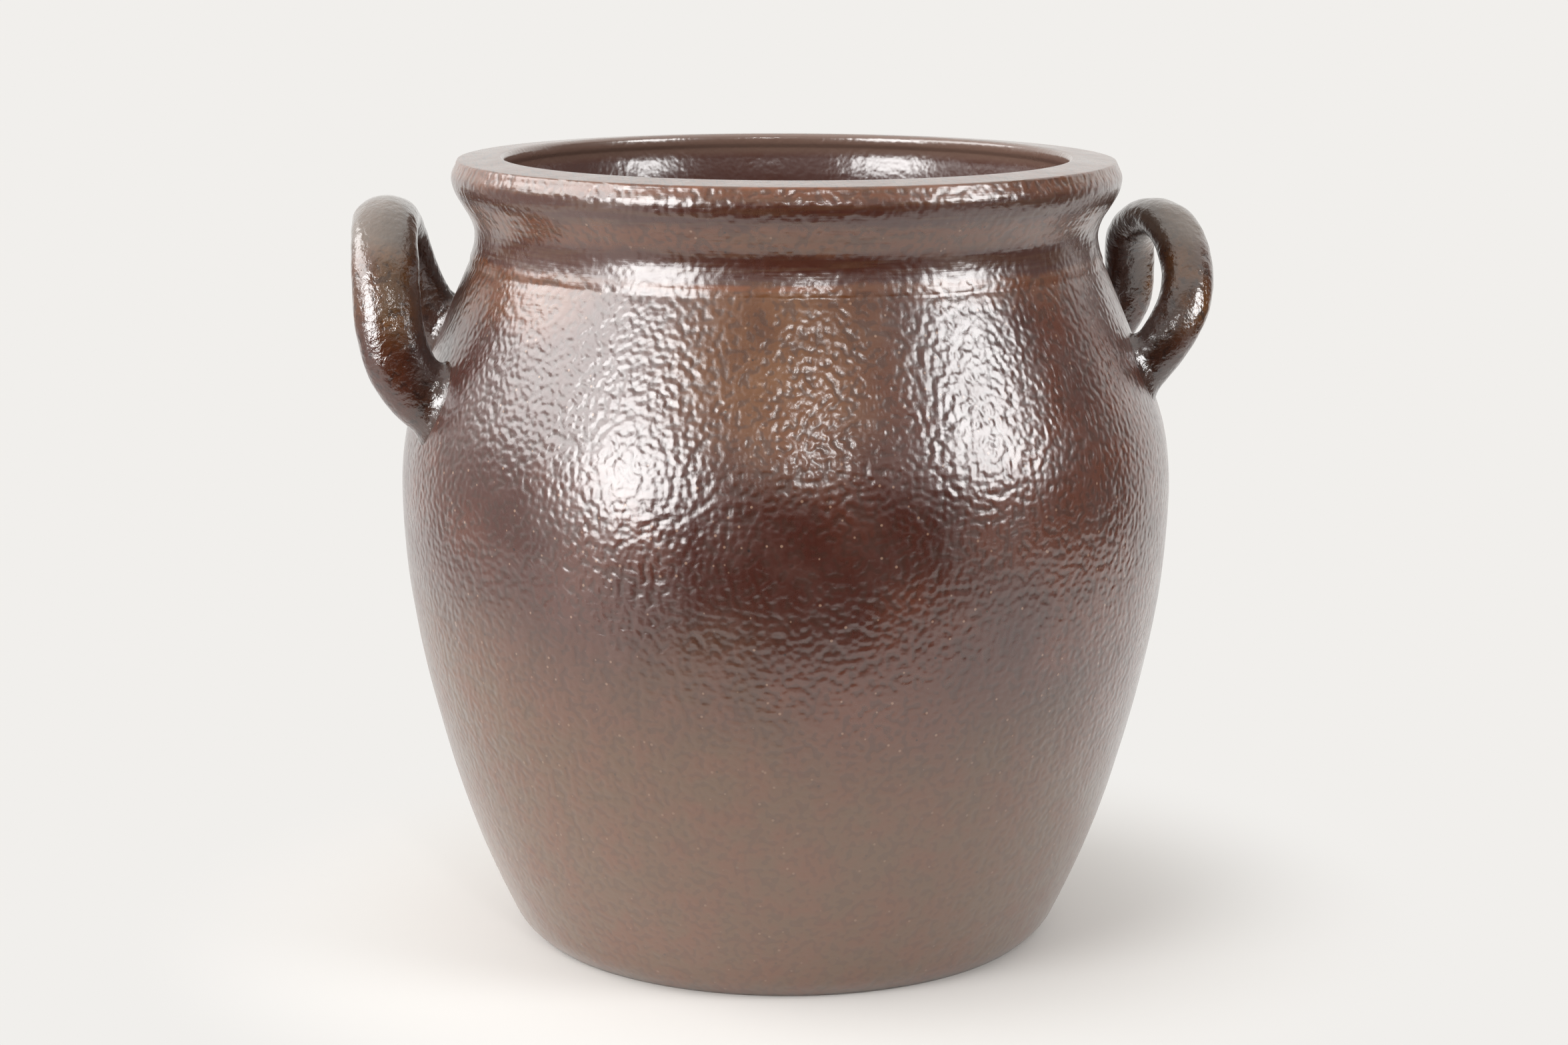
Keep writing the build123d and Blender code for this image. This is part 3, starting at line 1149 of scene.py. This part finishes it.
class JAR_OT_stage(bpy.types.Operator):
    """Set up the floor, the light and the camera"""

    bl_idname = "jar.stage"
    bl_label = "Stage"
    bl_options = {"REGISTER", "UNDO"}

    def execute(self, context):
        settings = context.scene.jar_stage

        # A sheet turned to the camera: its edges to the left and right of the jar, in front of
        # it and behind it
        left, right, near, far = -0.55, 0.6, -0.33, 2.3
        turn = Matrix.Rotation(FRONT + math.pi / 2, 3, "Z")
        middle = turn @ Vector(((left + right) / 2, (near + far) / 2, 0))
        select_only()
        bpy.ops.mesh.primitive_plane_add(size=1, location=middle, rotation=turn.to_euler())
        bpy.ops.transform.resize(
            value=(right - left, far - near, 1), orient_matrix=turn, orient_matrix_type="GLOBAL"
        )
        bpy.ops.object.transform_apply(location=True, rotation=True, scale=True)
        floor = context.object
        floor.name = "floor"
        floor.data.materials.append(paper(settings))
        light_world(context.scene, settings)
        softbox("left_softbox", -46, 15, (0.92, 1.08), settings.left_power)
        softbox("left_window", -89, 32, (1.7, 0.8), settings.window_power)
        softbox("right_softbox", 64, 23, (0.72, 0.84), settings.right_power)
        softbox("front_lamp", 9, 28, (0.13, 0.13), settings.front_power)
        camera(context.scene, settings)
        context.scene.view_settings.view_transform = "Standard"
        return {"FINISHED"}


def paper(settings):
    """Seamless paper, matt and pale: it keeps the jar's soft shadow near it and is as bright
    as the surroundings further off."""
    values = {"Base Color": settings.paper, "Roughness": 0.9}
    material, tree, shader, place = new_material("paper_seamless", values)
    glow = add_node(tree, "ShaderNodeEmission", {"Color": settings.backdrop, "Strength": 1.0})
    path = add_node(tree, "ShaderNodeLightPath").outputs
    seen = add_node(
        tree,
        "ShaderNodeMath",
        {0: path["Is Camera Ray"], 1: path["Is Glossy Ray"]},
        operation="ADD",
        use_clamp=True,
    ).outputs["Value"]
    distance = add_node(
        tree, "ShaderNodeVectorMath", {0: place}, operation="LENGTH"
    ).outputs["Value"]
    far = add_node(
        tree,
        "ShaderNodeMapRange",
        {"Value": distance, "From Min": 0.10, "From Max": 0.21},
        interpolation_type="SMOOTHSTEP",
    ).outputs["Result"]
    share = add_node(
        tree, "ShaderNodeMath", {0: far, 1: seen}, operation="MULTIPLY"
    ).outputs["Value"]
    mixed = add_node(
        tree,
        "ShaderNodeMixShader",
        {0: share, 1: shader.outputs["BSDF"], 2: glow.outputs["Emission"]},
    )
    output = next(node for node in tree.nodes if node.type == "OUTPUT_MATERIAL")
    tree.links.new(mixed.outputs[0], output.inputs["Surface"])
    return material


def light_world(scene, settings):
    """A white room, greyer on the right of the camera and over it, dimmer low down on the left,
    and dark below the lens, where nothing is lit. The camera itself sees the backdrop's colour
    on every side."""
    world = bpy.data.worlds.new("room")
    scene.world = world
    world.use_nodes = True
    tree = world.node_tree
    tree.nodes.clear()
    way = add_node(tree, "ShaderNodeTexCoord").outputs["Generated"]
    rise = add_node(tree, "ShaderNodeSeparateXYZ", {"Vector": way}).outputs["Z"]
    tone = settings.backdrop

    # Each side: its angle from the front, the cosines between which it begins and is full, the
    # heights between which it begins and is full, and its colour
    for angle, least, most, highest, full, other in (
        (-100, 0.78, 0.93, 0.28, 0.05, settings.dim_side),
        (60, 0.32, 0.58, 0.75, 0.5, settings.grey_side),
        (12, 0.3, 0.72, 0.93, 0.78, settings.high_side),
        (0, 0.5, 0.76, 0.28, 0.05, settings.dark_side),
    ):
        azimuth = FRONT + math.radians(angle)
        middle = (math.cos(azimuth), math.sin(azimuth), 0)
        facing = add_node(
            tree, "ShaderNodeVectorMath", {0: way, 1: middle}, operation="DOT_PRODUCT"
        ).outputs["Value"]
        share = add_node(
            tree,
            "ShaderNodeMapRange",
            {"Value": facing, "From Min": least, "From Max": most},
            interpolation_type="SMOOTHSTEP",
        ).outputs["Result"]
        below = add_node(
            tree,
            "ShaderNodeMapRange",
            {"Value": rise, "From Min": highest, "From Max": full},
            interpolation_type="SMOOTHSTEP",
        ).outputs["Result"]
        share = add_node(
            tree, "ShaderNodeMath", {0: share, 1: below}, operation="MULTIPLY"
        ).outputs["Value"]
        tone = add_node(
            tree, "ShaderNodeMix", {0: share, 6: tone, 7: other}, data_type="RGBA"
        ).outputs[2]
    seen = add_node(tree, "ShaderNodeLightPath").outputs["Is Camera Ray"]
    tone = add_node(
        tree, "ShaderNodeMix", {0: seen, 6: tone, 7: settings.backdrop}, data_type="RGBA"
    ).outputs[2]
    sky = add_node(tree, "ShaderNodeBackground", {"Color": tone, "Strength": 1.0})
    add_node(tree, "ShaderNodeOutputWorld", {"Surface": sky.outputs["Background"]})


def softbox(name, round_angle, elevation, size, watts):
    """An oval area light 1.6 m from the jar and aimed at it, its angle counted from the jar's
    front."""
    azimuth, rise = FRONT + math.radians(round_angle), math.radians(elevation)
    level = math.cos(rise)
    way = Vector((math.cos(azimuth) * level, math.sin(azimuth) * level, math.sin(rise)))
    target = Vector((0, 0, 130 * MM))
    select_only()
    bpy.ops.object.light_add(
        type="AREA",
        location=target + way * 1.6,
        rotation=(-way).to_track_quat("-Z", "Y").to_euler(),
    )
    lamp = bpy.context.object
    lamp.name = name
    lamp.data.shape = "ELLIPSE"
    lamp.data.size, lamp.data.size_y = size
    lamp.data.energy = watts


def camera(scene, settings):
    """The camera: 0.94 m from the jar's axis, 0.32 m up, pitched 11.4 degrees down."""
    reach, height, pitch, roll = 0.9378, 0.3156, math.radians(11.43), math.radians(0.16)
    front = Vector((math.cos(FRONT), math.sin(FRONT), 0))
    look = -front * math.cos(pitch) - Vector((0, 0, math.sin(pitch)))
    turn = look.to_track_quat("-Z", "Y").to_matrix() @ Matrix.Rotation(roll, 3, "Z")
    select_only()
    place = front * reach + Vector((0, 0, height))
    bpy.ops.object.camera_add(location=place, rotation=turn.to_euler())
    scene.camera = bpy.context.object
    scene.camera.data.sensor_width = 36
    scene.camera.data.lens = settings.lens
    scene.camera.data.shift_x = -0.001


class JAR_PT_panel(bpy.types.Panel):
    """Lists the jar's sizes, colours and pieces"""

    bl_idname = "JAR_PT_panel"
    bl_label = "Salt-glazed jar"
    bl_space_type = "VIEW_3D"
    bl_region_type = "UI"
    bl_category = "Jar"

    def draw(self, context):
        for group in GROUPS:
            box = self.layout.box()
            settings = getattr(context.scene, group)
            for name in settings.__annotations__:
                box.prop(settings, name)
        for operator in OPERATORS:
            self.layout.operator(operator.bl_idname)


GROUPS = {
    "jar_sizes": JarSizes,
    "jar_straps": HandleSizes,
    "jar_colours": GlazeColours,
    "jar_stage": StageSettings,
}
OPERATORS = (JAR_OT_body, JAR_OT_handles, JAR_OT_roots, JAR_OT_stage)


def register():
    for group, kind in GROUPS.items():
        bpy.utils.register_class(kind)
        setattr(bpy.types.Scene, group, bpy.props.PointerProperty(type=kind))
    for kind in (*OPERATORS, JAR_PT_panel):
        bpy.utils.register_class(kind)


def unregister():
    for kind in (JAR_PT_panel, *reversed(OPERATORS)):
        bpy.utils.unregister_class(kind)
    for group, kind in reversed(GROUPS.items()):
        delattr(bpy.types.Scene, group)
        bpy.utils.unregister_class(kind)


def main():
    register()
    bpy.ops.jar.body()
    bpy.ops.jar.handles()
    bpy.ops.jar.roots()
    bpy.ops.jar.stage()


if __name__ == "__main__":
    main()
